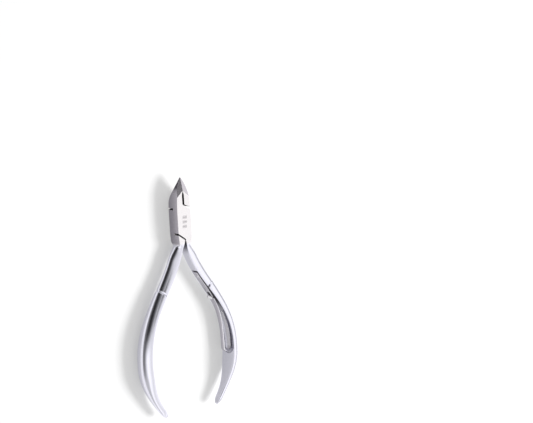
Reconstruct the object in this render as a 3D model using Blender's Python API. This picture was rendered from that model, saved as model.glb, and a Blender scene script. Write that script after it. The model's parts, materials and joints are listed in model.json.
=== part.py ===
# Cuticle nipper: two forged levers crossing in a lap joint on a flush pin, with ground jaws,
# D-section handles and a fold-out spring that parks in a trough in the right handle.
# The tool lies flat. X runs from the left handle to the right one, +Y points at the jaw tip
# and +Z is the pivot axis. The origin is on that axis, on the ground rear face of the joint.
# All sizes below are in millimetres; meshes are written in metres.
import math

import bmesh
import bpy
from mathutils import Vector

MM = 0.001

# Overall sizes
JAW_REACH = 19.2          # pivot to jaw tip
HANDLE_REACH = 86.7       # pivot to the end of a handle
BELLY_SPREAD = 23.5       # centre line to the inner face of a handle, where it is widest
BELLY_REACH = 60.9        # pivot to that widest place
TAIL_SPREAD = 13.6        # centre line to the inner face at the end of a handle
CROTCH_REACH = 8.4        # pivot to where the two handles part

# Pulls on the handle's curve, as shares of the fall or spread they act on
NECK_PULL = (0.146, 0.41)    # how far out and down the neck keeps straight
BELLY_PULL_UP = 0.45         # how long the belly stays upright above its widest place
BELLY_PULL_DOWN = 0.42       # and below it
TAIL_PULL = (0.65, 0.30)     # how far out and up the tail starts to turn in

# Joint block
HEAD_WIDTH = 7.5
HEAD_THICKNESS = 6.0
NECK_WIDTH = 6.8          # joint block at its lower end
ROOT_LENGTH = 2.8         # block below the crotch, where it runs into the handles
ROOT_ROUND = 0.8          # front and rear faces roll over by this much on it
LAP_GAP = 0.05            # sliding clearance between the two half-thickness plates
JAW_GAP = 0.05            # each cutting edge to the centre line, closed
HANDLE_GAP = 0.2          # inner face to the centre line at the crotch
SHOULDER_GAP = 0.85       # clearance at the four shoulders that stop the plates
UPPER_SHOULDER_REACH = 7.4   # above the pivot, at the relief slit
UPPER_SHOULDER_DROP = 1.7    # fall of that shoulder from the slit to the side
LOWER_SHOULDER_DROP = 2.6    # rise of the lower shoulder from the crotch to the side
SLIT_WIDTH = 1.1
SLIT_TOP_REACH = 13.2        # the cutting edges meet above this

# Ground faces of the jaws
FACET_SIDE_REACH = 10.6      # front facet starts here on the side of the jaw
FACET_EDGE_REACH = 13.4      # and here on the cutting edge
TIP_FRONT_DROP = 1.2         # front face down to the tip
TIP_THICKNESS = 0.35
REAR_BEVEL_REACH = 7.5       # the rear face starts to rise here
REAR_BEVEL_PULL = (0.35, 0.60)   # where its S curve leaves the flat and where it levels out
JAW_FULLNESS = (0.47, 0.76)  # the jaws' pointed outline keeps its width up to these shares
JAW_TIP_HALF = 0.15

# Pivot pin
PIN_RADIUS = 1.8
PIN_HEAD_RADIUS = 2.6
PIN_HEAD_HEIGHT = 1.1
PIN_RUNNING_GAP = 0.05
PIN_PRESS_GAP = 0.02
PIN_FRONT_WALL = 0.8         # front plate left whole over the blind end of the pin

# Handle section: full width along Z, depth outwards from the flat inner face
NECK_HANDLE_WIDTH = 4.7
NECK_HANDLE_DEPTH = 4.9
BELLY_HANDLE_WIDTH = 8.3
BELLY_HANDLE_DEPTH = 4.5
SECTION_POWER = 2.15         # 2 is a half ellipse, more is squarer

# Decorative ring groove
RING_REACH = 32.1
RING_WIDTH = 0.9
RING_DEPTH = 0.3

# Fold-out spring
STRAP_TOP_REACH = 24.9       # upper end of the strap
KNUCKLE_REACH = 37.0         # spring knuckle, measured on the handle's inner face
KNUCKLE_LIFT = 0.95          # knuckle centre above that face
STRAP_WIDTH = 2.8
STRAP_THICKNESS = 0.55
STRAP_SINK = 0.1             # strap's middle plane below the inner face
WINDOW_LENGTH = 2.7          # knuckle centre to the upper end of the strap's window
KNUCKLE_RADIUS = 0.85
KNUCKLE_PIN_RADIUS = 0.40
KNUCKLE_GAP = 0.05
BARREL_WIDTH = 1.6           # rolled end of the bow spring
BARREL_SIDE_GAP = 0.1
BOW_WIDTH = 2.8
BOW_NOSE_WIDTH = 2.1
BOW_TIP_WIDTH = 0.9
BOW_THICKNESS = 0.5
BOW_LIFT = 3.0               # long arm above the inner face, at the nose
NOSE_REACH = 62.0            # centre of the bow spring's bend
RETURN_ARM_REACH = 45.5      # upper end of the return arm
TROUGH_DEPTH = 1.3           # below the knuckle, on the handle's middle plane
TROUGH_LAND = 0.3            # flat left along each edge of the inner face
TROUGH_TOP_GAP = 0.8         # trough beyond the strap's upper end
TROUGH_NOSE_GAP = 1.1        # trough beyond the bow spring's nose
TROUGH_END_ROUND = 3.7       # length over which its lower end closes
TROUGH_POWER = 2.4           # bowl across the trough: 2 is a parabola, more is flatter
STRAP_SEAT_GAP = 0.03        # strap's edges to the trough floor
SEAT_GAP = 0.3               # return arm to the trough floor
ARM_PULL = (0.33, 0.36)      # shares of the long arm that leave the knuckle and nose straight
ARM_CROWN = 0.25             # extra rise of the long arm above its nose
RIVET_RADIUS = 0.6
RIVET_PLACE = 2.2            # rivet below the strap's upper end
RIVET_GRIP = 1.4             # length in the handle
RIVET_GAP = 0.03

# Facets
SECTION_SIDES = 18
HANDLE_RINGS = 34
ROUND_SIDES = 32
SMALL_SIDES = 16
LEAF_STEPS = 18
TROUGH_RINGS = 24
TROUGH_SIDES = 5

MID = HEAD_THICKNESS / 2


def clear_scene():
    for old in list(bpy.data.objects):
        bpy.data.objects.remove(old, do_unlink=True)


# Curves

def cubic(points, t):
    """Point on a cubic curve with four control points, at t from 0 to 1."""
    a, b, c, d = points
    s = 1.0 - t
    return tuple(
        s**3 * a[i] + 3 * s * s * t * b[i] + 3 * s * t * t * c[i] + t**3 * d[i]
        for i in range(len(a))
    )


def handle_controls():
    """Control points of the inner face of the right handle: crotch to belly, belly to tail."""
    fall = BELLY_REACH - CROTCH_REACH
    rest = HANDLE_REACH - BELLY_REACH
    spread = BELLY_SPREAD - TAIL_SPREAD
    belly = (BELLY_SPREAD, -BELLY_REACH)
    upper = (
        (HANDLE_GAP, -CROTCH_REACH),
        (HANDLE_GAP + NECK_PULL[0] * BELLY_SPREAD, -CROTCH_REACH - NECK_PULL[1] * fall),
        (BELLY_SPREAD, -BELLY_REACH + BELLY_PULL_UP * fall),
        belly,
    )
    lower = (
        belly,
        (BELLY_SPREAD, -BELLY_REACH - BELLY_PULL_DOWN * rest),
        (TAIL_SPREAD + TAIL_PULL[0] * spread, -HANDLE_REACH + TAIL_PULL[1] * rest),
        (TAIL_SPREAD, -HANDLE_REACH),
    )
    return upper, lower


def inner_face(reach):
    """Point, unit tangent (towards the tail) and unit normal (outwards) at a reach below the pivot."""
    upper, lower = handle_controls()
    curve = upper if reach <= BELLY_REACH else lower
    low, high = 0.0, 1.0
    for _ in range(40):
        middle = (low + high) / 2
        if -cubic(curve, middle)[1] < reach:
            low = middle
        else:
            high = middle
    step = 1e-3
    before = cubic(curve, max(low - step, 0.0))
    after = cubic(curve, min(low + step, 1.0))
    point = cubic(curve, low)
    tangent = Vector((after[0] - before[0], after[1] - before[1])).normalized()
    normal = Vector((-tangent.y, tangent.x))
    return Vector(point), tangent, normal


def off_face(reach, lift):
    """Point at a height above the inner face, towards the other handle."""
    point, _, normal = inner_face(reach)
    return point - normal * lift


def smooth_between(stations, x):
    """Value that eases from one (x, value) station to the next."""
    if x <= stations[0][0]:
        return stations[0][1]
    for (x0, v0), (x1, v1) in zip(stations, stations[1:]):
        if x <= x1:
            t = (x - x0) / (x1 - x0)
            return v0 + (v1 - v0) * t * t * (3 - 2 * t)
    return stations[-1][1]


# Meshes

def new_object(name, points, faces):
    """Object from points in millimetres, with its faces turned outwards."""
    mesh = bpy.data.meshes.new(name)
    mesh.from_pydata([tuple(c * MM for c in p) for p in points], [], faces)
    work = bmesh.new()
    work.from_mesh(mesh)
    bmesh.ops.recalc_face_normals(work, faces=work.faces)
    work.to_mesh(mesh)
    work.free()
    made = bpy.data.objects.new(name, mesh)
    bpy.context.collection.objects.link(made)
    return made


def loft(name, rings):
    """Closed solid through rings of equally many points, with flat ends."""
    count = len(rings[0])
    points = [p for ring in rings for p in ring]
    faces = [tuple(range(count)), tuple(range(len(points) - count, len(points)))[::-1]]
    for r in range(len(rings) - 1):
        for i in range(count):
            j = (i + 1) % count
            a, b = r * count, (r + 1) * count
            faces.append((a + i, a + j, b + j, b + i))
    return new_object(name, points, faces)


def prism(name, outline, low, high):
    return loft(name, [[(x, y, z) for x, y in outline] for z in (low, high)])


def leaf(name, centre_line, widths, thickness):
    """Bent strip of spring steel: a centre line in the XY plane, a width along Z at each point."""
    rings = []
    last = len(centre_line) - 1
    for i, point in enumerate(centre_line):
        along = centre_line[min(i + 1, last)] - centre_line[max(i - 1, 0)]
        along.normalize()
        side = Vector((-along.y, along.x)) * thickness / 2
        left, right, half = point + side, point - side, widths[i] / 2
        rings.append([
            (left.x, left.y, MID - half),
            (right.x, right.y, MID - half),
            (right.x, right.y, MID + half),
            (left.x, left.y, MID + half),
        ])
    return loft(name, rings)


def disc_rings(centre, axis, radius, start, end, sides):
    """Two rings of a cylinder about an axis through centre."""
    axis = Vector(axis).normalized()
    across = axis.orthogonal().normalized()
    up = axis.cross(across)
    turns = [2 * math.pi * i / sides for i in range(sides)]
    return [
        [
            tuple(Vector(centre) + axis * place + (across * math.cos(a) + up * math.sin(a)) * radius)
            for a in turns
        ]
        for place in (start, end)
    ]


def cylinder(name, centre, axis, radius, start, end, sides=SMALL_SIDES):
    return loft(name, disc_rings(centre, axis, radius, start, end, sides))


def combine(target, other, operation):
    """Applies one Boolean and removes the helper."""
    modifier = target.modifiers.new(operation.title(), "BOOLEAN")
    modifier.operation = operation
    modifier.solver = "EXACT"
    modifier.object = other
    graph = bpy.context.evaluated_depsgraph_get()
    result = bpy.data.meshes.new_from_object(target.evaluated_get(graph))
    target.modifiers.clear()
    old = target.data
    target.data = result
    bpy.data.meshes.remove(old)
    helper_mesh = other.data
    bpy.data.objects.remove(other, do_unlink=True)
    bpy.data.meshes.remove(helper_mesh)
    return target


# Levers

def head_half_width(y):
    """Half the plan width of the joint block and jaws: pointed ogive above, slight waist below."""
    half = HEAD_WIDTH / 2
    if y <= 0.0:
        return smooth_between([(-CROTCH_REACH - 3, NECK_WIDTH / 2), (-CROTCH_REACH + 3, half)], y)
    outline = (
        (half, 0.0),
        (half, JAW_FULLNESS[0] * JAW_REACH),
        (0.97 * half, JAW_FULLNESS[1] * JAW_REACH),
        (JAW_TIP_HALF, JAW_REACH),
    )
    low, high = 0.0, 1.0
    for _ in range(40):
        middle = (low + high) / 2
        if cubic(outline, middle)[1] < y:
            low = middle
        else:
            high = middle
    return cubic(outline, low)[0]


def head_rear_height(y):
    """Height of the rear face: flat on the joint, then an S-shaped ground bevel up to the tip."""
    tip = HEAD_THICKNESS - TIP_FRONT_DROP - TIP_THICKNESS
    if y <= REAR_BEVEL_REACH:
        return 0.0
    span = JAW_REACH - REAR_BEVEL_REACH
    profile = (
        (REAR_BEVEL_REACH, 0.0),
        (REAR_BEVEL_REACH + REAR_BEVEL_PULL[0] * span, 0.0),
        (REAR_BEVEL_REACH + REAR_BEVEL_PULL[1] * span, tip),
        (JAW_REACH, tip),
    )
    low, high = 0.0, 1.0
    for _ in range(40):
        middle = (low + high) / 2
        if cubic(profile, middle)[0] < y:
            low = middle
        else:
            high = middle
    return cubic(profile, low)[1]


def root_roll(y):
    """How far the front and rear faces have rolled over, along a quarter ellipse, on the root."""
    t = min(max((-CROTCH_REACH - 0.2 - y) / ROOT_LENGTH, 0.0), 1.0)
    return ROOT_ROUND * (1.0 - math.sqrt(1.0 - t * t))


def head_envelope():
    """Outside of both jaws and the joint block together, before they are parted."""
    lowest = -CROTCH_REACH - 0.2 - ROOT_LENGTH
    root = [lowest + ROOT_LENGTH * (1 - math.cos(0.5 * math.pi * i / 6)) for i in range(6)]
    flat_from = -CROTCH_REACH - 0.2
    flat = [flat_from + (REAR_BEVEL_REACH - flat_from) * i / 8 for i in range(8)]
    ground = [REAR_BEVEL_REACH + (JAW_REACH - REAR_BEVEL_REACH) * i / 14 for i in range(15)]
    rings = []
    for y in root + flat + ground:
        half = head_half_width(y)
        low = head_rear_height(y) + root_roll(y)
        high = HEAD_THICKNESS - root_roll(y)
        rings.append([(-half, y, low), (half, y, low), (half, y, high), (-half, y, high)])
    envelope = loft("head_envelope", rings)
    for side in (-1, 1):
        combine(envelope, facet_cutter(side), "DIFFERENCE")
    return envelope


def facet_cutter(side):
    """Everything in front of the plane of one ground front facet.

    The plane holds three points: the side of the jaw at FACET_SIDE_REACH and the cutting edge at
    FACET_EDGE_REACH, both on the front face, and the tip, which lies TIP_FRONT_DROP lower."""
    outer = Vector((side * head_half_width(FACET_SIDE_REACH), FACET_SIDE_REACH, HEAD_THICKNESS))
    edge = Vector((0.0, FACET_EDGE_REACH, HEAD_THICKNESS))
    tip = Vector((0.0, JAW_REACH, HEAD_THICKNESS - TIP_FRONT_DROP))
    normal = (outer - edge).cross(tip - edge).normalized()
    if normal.z < 0:
        normal = -normal

    def height(x, y):
        return edge.z - (normal.x * (x - edge.x) + normal.y * (y - edge.y)) / normal.z

    reach = HEAD_WIDTH
    inner = -0.4 * side
    corners = [
        (inner, FACET_SIDE_REACH - reach),
        (side * reach, FACET_SIDE_REACH - reach),
        (side * reach, JAW_REACH + 3),
        (inner, JAW_REACH + 3),
    ]
    bottom = [(x, y, height(x, y)) for x, y in corners]
    top = [(x, y, HEAD_THICKNESS + 12) for x, y in corners]
    return loft("facet_cutter", [bottom, top])


def lever_blank(side):
    """Joint plate, jaw and handle root of one lever, as plain prisms.

    side is 1 for the lever whose handle is on the right and whose plate is in front, -1 for
    the other. Its jaw is on the opposite side of the centre line from its handle."""
    far = HEAD_WIDTH
    plate_low = MID + LAP_GAP / 2 if side > 0 else -1.0
    plate_high = HEAD_THICKNESS + 1.0 if side > 0 else MID - LAP_GAP / 2
    shoulder_slope = UPPER_SHOULDER_DROP / (HEAD_WIDTH / 2)
    lower_slope = LOWER_SHOULDER_DROP / (HEAD_WIDTH / 2)
    half_slit = SLIT_WIDTH / 2
    top = JAW_REACH + 1.0
    below = -CROTCH_REACH - ROOT_LENGTH
    below_x = inner_face(-below)[0].x

    def upper(x):
        return UPPER_SHOULDER_REACH - shoulder_slope * abs(x)

    def lower(x):
        return -CROTCH_REACH + lower_slope * abs(x)

    def placed(outline):
        return [(side * x, y) for x, y in outline]

    slit_taper = UPPER_SHOULDER_REACH + 0.72 * (SLIT_TOP_REACH - UPPER_SHOULDER_REACH)
    inner_edge = [
        (-JAW_GAP, top),
        (-JAW_GAP, SLIT_TOP_REACH),
        (-half_slit, slit_taper),
    ]
    plate = placed(inner_edge + [
        (-half_slit, UPPER_SHOULDER_REACH),
        (half_slit, upper(half_slit) - SHOULDER_GAP),
        (far, upper(far) - SHOULDER_GAP),
        (far, below),
        (below_x, below),
        (HANDLE_GAP, -CROTCH_REACH),
        (-HANDLE_GAP, -CROTCH_REACH + SHOULDER_GAP / 2),
        (-far, lower(far) + SHOULDER_GAP / 2),
        (-far, top),
    ])
    jaw = placed(inner_edge + [
        (-half_slit, upper(half_slit)),
        (-far, upper(far)),
        (-far, top),
    ])
    root = placed([
        (HANDLE_GAP, -CROTCH_REACH - SHOULDER_GAP / 2),
        (far, lower(far) - SHOULDER_GAP / 2),
        (far, below),
        (below_x, below),
    ])
    blank = prism("plate", plate, plate_low, plate_high)
    combine(blank, prism("jaw", jaw, -1.0, HEAD_THICKNESS + 1.0), "UNION")
    combine(blank, prism("root", root, -1.0, HEAD_THICKNESS + 1.0), "UNION")
    return blank


def handle_section(reach):
    """Half width along Z and outward depth of the handle at a reach below the pivot."""
    neck, belly, tail = CROTCH_REACH, BELLY_REACH, HANDLE_REACH
    grip = belly - neck
    end = tail - belly
    width = smooth_between([
        (neck, HEAD_THICKNESS - 0.3),
        (neck + 0.13 * grip, NECK_HANDLE_WIDTH + 0.1),
        (neck + 0.25 * grip, NECK_HANDLE_WIDTH),
        (belly - 0.05 * grip, BELLY_HANDLE_WIDTH),
        (belly + 0.2 * end, BELLY_HANDLE_WIDTH),
        (tail - 0.12 * end, 0.42 * BELLY_HANDLE_WIDTH),
    ], reach)
    depth = smooth_between([
        (neck, NECK_WIDTH / 2 - HANDLE_GAP - 0.3),
        (neck + 0.2 * grip, NECK_HANDLE_DEPTH),
        (belly - 0.3 * grip, 0.95 * BELLY_HANDLE_DEPTH),
        (belly + 0.15 * end, BELLY_HANDLE_DEPTH),
        (tail - 0.12 * end, 0.56 * BELLY_HANDLE_DEPTH),
    ], reach)
    round_off = 0.12 * end
    into_tip = min(max((reach - (tail - round_off)) / round_off, 0.0), 1.0)
    shrink = math.sqrt(max(1.0 - into_tip**2, 0.0))
    return width / 2 * shrink, depth * (0.25 + 0.75 * shrink)


def d_ring(reach, side, trim):
    """Ring of a D section: flat on the inner face, a squared half ellipse outside."""
    point, _, normal = inner_face(reach)
    half, depth = handle_section(reach)
    half, depth = max(half - trim, 0.25), max(depth - trim, 0.3)
    ring = []
    for i in range(SECTION_SIDES + 1):
        angle = math.pi * (i / SECTION_SIDES - 0.5)
        out = depth * abs(math.cos(angle)) ** (2 / SECTION_POWER)
        rise = half * abs(math.sin(angle)) ** (2 / SECTION_POWER) * (1 if angle > 0 else -1)
        place = point + normal * out
        ring.append((side * place.x, place.y, MID + rise))
    return ring


def handle(side):
    top = CROTCH_REACH + 1.2
    end = HANDLE_REACH - 0.05
    flank, floor = RING_WIDTH / 2, RING_WIDTH / 6
    plain = [
        top + (end - top) * math.sin(0.5 * math.pi * i / HANDLE_RINGS) ** 0.9
        for i in range(HANDLE_RINGS + 1)
    ]
    rings = [(reach, 0.0) for reach in plain if abs(reach - RING_REACH) > 1.5 * flank]
    rings += [
        (RING_REACH - flank, 0.0),
        (RING_REACH - floor, RING_DEPTH),
        (RING_REACH + floor, RING_DEPTH),
        (RING_REACH + flank, 0.0),
    ]
    return loft("handle", [d_ring(reach, side, trim) for reach, trim in sorted(rings)])


def lever(name, side):
    made = lever_blank(side)
    made.name = made.data.name = name
    combine(made, head_envelope(), "INTERSECT")
    combine(made, handle(side), "UNION")
    return made


def trough_depth(reach):
    """Deepest point of the trough: shallow where the strap's edges seat on it, deep below."""
    top = STRAP_TOP_REACH
    share = STRAP_WIDTH / 2 / (handle_section(top)[0] - TROUGH_LAND)
    seat = STRAP_SINK + STRAP_THICKNESS / 2 + STRAP_SEAT_GAP
    shallow = seat / (1.0 - share**TROUGH_POWER)
    return smooth_between([(KNUCKLE_REACH - 5.0, shallow), (KNUCKLE_REACH, TROUGH_DEPTH)], reach)


def trough_cutter():
    """Gouged trough in the right handle's inner face: a bowl across, with a round lower end."""
    start = STRAP_TOP_REACH - TROUGH_TOP_GAP
    end = nose_bottom() + TROUGH_NOSE_GAP
    rings = []
    for i in range(TROUGH_RINGS + 1):
        reach = start + (end - start) * math.sin(0.5 * math.pi * i / TROUGH_RINGS)
        half = handle_section(reach)[0] - TROUGH_LAND
        into_end = min(max((reach - end) / TROUGH_END_ROUND + 1.0, 0.0), 1.0)
        half *= max(math.sqrt(1.0 - into_end**2), 0.12)
        depth = trough_depth(reach) * (1.0 - 0.6 * into_end**4)
        ring = []
        for k in range(-TROUGH_SIDES, TROUGH_SIDES + 1):
            across = k / TROUGH_SIDES
            under = off_face(reach, -depth * (1.0 - abs(across)**TROUGH_POWER))
            ring.append((under.x, under.y, MID + half * across))
        over = off_face(reach, 1.0)
        ring += [(over.x, over.y, MID + half), (over.x, over.y, MID - half)]
        rings.append(ring)
    return loft("trough_cutter", rings)


# Pivot

def pin_solid(name, press_gap, running_gap, rear_end, front_extra):
    """Headed pin, or the hole for it when the gaps are added to its radii."""
    shank = cylinder(
        name, (0, 0, 0), (0, 0, 1), PIN_RADIUS + press_gap,
        rear_end, HEAD_THICKNESS - PIN_FRONT_WALL + front_extra, ROUND_SIDES,
    )
    head = cylinder(
        "pin_head", (0, 0, 0), (0, 0, 1), PIN_HEAD_RADIUS + running_gap,
        rear_end, PIN_HEAD_HEIGHT + running_gap, ROUND_SIDES,
    )
    return combine(shank, head, "UNION")


# Fold-out spring

def knuckle_centre():
    return off_face(KNUCKLE_REACH, KNUCKLE_LIFT)


def nose_radius():
    """Middle radius of the bow spring's bend: half the way from the long arm to the return arm."""
    return (BOW_LIFT + TROUGH_DEPTH - SEAT_GAP - BOW_THICKNESS / 2) / 2


def nose_bottom():
    return NOSE_REACH + nose_radius() + BOW_THICKNESS / 2


def strap_line():
    """Middle line of the strap, from its upper end to the knuckle."""
    end = KNUCKLE_REACH
    seat = KNUCKLE_LIFT - KNUCKLE_RADIUS + STRAP_THICKNESS / 2
    lifts = [(STRAP_TOP_REACH, -STRAP_SINK), (end - 5.0, -STRAP_SINK), (end, seat)]
    return [
        off_face(reach, smooth_between(lifts, reach))
        for reach in (STRAP_TOP_REACH + (end - STRAP_TOP_REACH) * i / LEAF_STEPS
                      for i in range(LEAF_STEPS + 1))
    ]


def spring_strap():
    line = strap_line()
    made = leaf("spring_strap", line, [STRAP_WIDTH] * len(line), STRAP_THICKNESS)
    centre = knuckle_centre()
    eye_at = (centre.x, centre.y, MID)
    axis = (0, 0, 1)
    half = STRAP_WIDTH / 2
    combine(made, cylinder("eye", eye_at, axis, KNUCKLE_RADIUS, -half, half, ROUND_SIDES), "UNION")
    window_half = BARREL_WIDTH / 2 + BARREL_SIDE_GAP
    tangent = inner_face(KNUCKLE_REACH)[1]
    normal = Vector((-tangent.y, tangent.x))
    upper, lower = centre - tangent * WINDOW_LENGTH, centre + tangent * 2.0
    corners = [upper - normal * 2, lower - normal * 2, lower + normal * 2, upper + normal * 2]
    window = prism("window", [tuple(c) for c in corners], MID - window_half, MID + window_half)
    combine(made, window, "DIFFERENCE")
    bore = cylinder("bore", eye_at, axis, KNUCKLE_PIN_RADIUS + RIVET_GAP, -3, 3, SMALL_SIDES)
    combine(made, bore, "DIFFERENCE")
    combine(made, rivet_solid("rivet_hole", RIVET_GAP, 1.0), "DIFFERENCE")
    return made


def rivet_solid(name, gap, extra):
    """Flush rivet through the strap, or the hole for it."""
    reach = STRAP_TOP_REACH + RIVET_PLACE
    point, _, normal = inner_face(reach)
    centre = point + normal * STRAP_SINK
    return cylinder(
        name, (centre.x, centre.y, MID), (normal.x, normal.y, 0), RIVET_RADIUS + gap,
        -STRAP_THICKNESS / 2 - extra, TROUGH_DEPTH + RIVET_GRIP + (0.2 if gap else 0.0),
    )


def bow_line():
    """Middle line and widths of the bow spring: long arm, bend, then the return arm."""
    centre = knuckle_centre()
    _, tangent, normal = inner_face(KNUCKLE_REACH)
    start = centre + normal * (KNUCKLE_RADIUS - BOW_THICKNESS / 2)
    nose_in = off_face(NOSE_REACH, BOW_LIFT)
    _, nose_tangent, nose_normal = inner_face(NOSE_REACH)
    arm = (nose_in - start).length
    controls = (start, start + tangent * ARM_PULL[0] * arm,
                nose_in - nose_tangent * ARM_PULL[1] * arm - nose_normal * ARM_CROWN, nose_in)
    points, widths = [], []
    clear = KNUCKLE_RADIUS + 0.25
    for i in range(LEAF_STEPS + 1):
        t = i / LEAF_STEPS
        point = Vector(cubic(controls, t))
        away = (point - centre).length
        full = smooth_between([(0.35, BOW_WIDTH), (0.75, BOW_NOSE_WIDTH)], t)
        widths.append(smooth_between([(clear, BARREL_WIDTH), (clear + 1.2, full)], away))
        points.append(point)
    radius = nose_radius()
    middle = nose_in + nose_normal * radius
    for i in range(1, 12):
        angle = math.pi * i / 12
        offset = -nose_normal * math.cos(angle) + nose_tangent * math.sin(angle)
        points.append(middle + offset * radius)
        widths.append(BOW_NOSE_WIDTH)
    seated = -(TROUGH_DEPTH - SEAT_GAP - BOW_THICKNESS / 2)
    for i in range(LEAF_STEPS // 2 + 1):
        t = i / (LEAF_STEPS // 2)
        reach = NOSE_REACH + (RETURN_ARM_REACH - NOSE_REACH) * t
        points.append(off_face(reach, seated))
        widths.append(smooth_between([(0.6, BOW_NOSE_WIDTH), (1.0, BOW_TIP_WIDTH)], t))
    return points, widths


def bow_spring():
    points, widths = bow_line()
    made = leaf("bow_spring", points, widths, BOW_THICKNESS)
    centre = knuckle_centre()
    at = (centre.x, centre.y, MID)
    half = BARREL_WIDTH / 2
    combine(made, cylinder("barrel", at, (0, 0, 1), KNUCKLE_RADIUS, -half, half, ROUND_SIDES), "UNION")
    bore = cylinder("bore", at, (0, 0, 1), KNUCKLE_PIN_RADIUS + KNUCKLE_GAP, -3, 3, SMALL_SIDES)
    return combine(made, bore, "DIFFERENCE")


# Materials

def metal(name, colour, roughness):
    made = bpy.data.materials.new(name)
    made.use_nodes = True
    shader = made.node_tree.nodes["Principled BSDF"]
    shader.inputs["Base Color"].default_value = (*colour, 1.0)
    shader.inputs["Metallic"].default_value = 1.0
    shader.inputs["Roughness"].default_value = roughness
    return made


def finish(made, material, axis_point=None):
    """Gives the object its material and smooth shading, and puts its origin on its joint axis."""
    made.data.materials.clear()
    made.data.materials.append(material)
    made.data.shade_smooth()
    made.data.set_sharp_from_angle(angle=math.radians(28))
    if axis_point is not None:
        shift = Vector(axis_point) * MM
        for vertex in made.data.vertices:
            vertex.co -= shift
        made.location = shift


def build():
    clear_scene()
    front = lever("front_lever", 1)
    rear = lever("rear_lever", -1)
    combine(front, pin_solid("pin_hole", PIN_PRESS_GAP, 0.0, -1.0, PIN_PRESS_GAP), "DIFFERENCE")
    combine(rear, pin_solid("pin_hole", PIN_RUNNING_GAP, PIN_RUNNING_GAP, -1.0, 0.0), "DIFFERENCE")
    combine(front, trough_cutter(), "DIFFERENCE")
    combine(front, rivet_solid("rivet_hole", RIVET_GAP, 1.0), "DIFFERENCE")
    pin = pin_solid("pivot_pin", 0.0, 0.0, 0.0, 0.0)
    strap = spring_strap()
    rivet = rivet_solid("strap_rivet", 0.0, 0.0)
    bow = bow_spring()
    centre = knuckle_centre()
    half = STRAP_WIDTH / 2
    knuckle = cylinder("knuckle_pin", (centre.x, centre.y, MID), (0, 0, 1),
                       KNUCKLE_PIN_RADIUS, -half, half)

    forged = metal("satin forged steel", (0.66, 0.66, 0.72), 0.30)
    pin_steel = metal("ground pin steel", (0.60, 0.60, 0.62), 0.25)
    spring_steel = metal("spring steel", (0.55, 0.54, 0.57), 0.28)
    joint_axis = (0.0, 0.0, MID)
    knuckle_axis = (centre.x, centre.y, MID)
    finish(front, forged)
    finish(rear, forged, joint_axis)
    finish(pin, pin_steel, joint_axis)
    finish(strap, spring_steel)
    finish(rivet, pin_steel)
    finish(bow, spring_steel, knuckle_axis)
    finish(knuckle, pin_steel, knuckle_axis)
    for piece in (pin, strap, rivet, knuckle):
        piece.parent = front


build()
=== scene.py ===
import json
import math

import bmesh
import bpy
import numpy as np
from mathutils import Matrix, Vector


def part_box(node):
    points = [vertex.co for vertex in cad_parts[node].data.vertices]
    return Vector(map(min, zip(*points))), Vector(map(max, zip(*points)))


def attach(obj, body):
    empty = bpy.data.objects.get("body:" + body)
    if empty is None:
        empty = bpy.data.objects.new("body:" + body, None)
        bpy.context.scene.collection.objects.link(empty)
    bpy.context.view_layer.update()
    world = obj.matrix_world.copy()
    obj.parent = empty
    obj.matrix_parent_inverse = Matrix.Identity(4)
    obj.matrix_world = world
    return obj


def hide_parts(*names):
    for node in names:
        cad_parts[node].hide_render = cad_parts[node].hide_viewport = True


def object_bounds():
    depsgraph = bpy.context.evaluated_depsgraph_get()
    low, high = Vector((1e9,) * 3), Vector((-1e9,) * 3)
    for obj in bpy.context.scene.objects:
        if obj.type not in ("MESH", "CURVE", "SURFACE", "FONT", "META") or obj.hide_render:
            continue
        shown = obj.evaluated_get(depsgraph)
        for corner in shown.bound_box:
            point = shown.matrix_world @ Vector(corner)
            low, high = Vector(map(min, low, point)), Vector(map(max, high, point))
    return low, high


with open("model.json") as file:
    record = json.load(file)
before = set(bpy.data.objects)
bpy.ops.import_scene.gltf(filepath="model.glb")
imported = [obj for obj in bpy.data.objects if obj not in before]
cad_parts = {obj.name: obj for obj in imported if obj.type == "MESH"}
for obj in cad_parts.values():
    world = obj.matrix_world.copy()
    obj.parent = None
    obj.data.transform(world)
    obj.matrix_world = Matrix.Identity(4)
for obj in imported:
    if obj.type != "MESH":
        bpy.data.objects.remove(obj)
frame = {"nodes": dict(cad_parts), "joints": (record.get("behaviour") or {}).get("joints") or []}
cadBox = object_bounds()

mm = 0.001  # shapes are worked out in millimetres and meshes are written in metres
nodes = frame["nodes"]
joints = {joint["name"]: joint for joint in frame["joints"]}


def boxOf(node):
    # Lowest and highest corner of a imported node, in millimetres
    low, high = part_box(node)
    return np.array(low) / mm, np.array(high) / mm


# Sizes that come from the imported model
frontLow, frontHigh = boxOf("front_lever")
pinLow, pinHigh = boxOf("pivot_pin")
knuckleCentre = np.array(joints["spring_fold"]["pos_m"][:2]) / mm
mid = joints["jaw_pivot"]["pos_m"][2] / mm  # middle plane between the two joint plates
headThickness = 2 * mid
tailRoll = 0.615  # the outside of the tail rolls this far past its inner face
handleReach = -frontLow[1] - tailRoll
bellyWidth = frontHigh[2] - frontLow[2]


def easeBetween(stations, x):
    # Value at x that eases along a smoothstep from each (x, value) station to the next
    places, values = np.array(stations, float).T
    x = np.asarray(x, float)
    i = np.clip(np.searchsorted(places, x, side="right") - 1, 0, len(places) - 2)
    t = np.clip((x - places[i]) / (places[i + 1] - places[i]), 0, 1)
    return values[i] + (values[i + 1] - values[i]) * t * t * (3 - 2 * t)


def cubicCurve(points, t):
    # Cubic curve: the four points weighted by the Bernstein polynomials of t
    a, b, c, d = np.array(points, float)[:, None, :]
    t = np.asarray(t, float)[:, None]
    s = 1 - t
    return s**3 * a + 3 * s * s * t * b + 3 * s * t * t * c + t**3 * d


def unit(vectors):
    # Each vector divided by its length
    return vectors / np.linalg.norm(vectors, axis=-1, keepdims=True)


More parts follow.
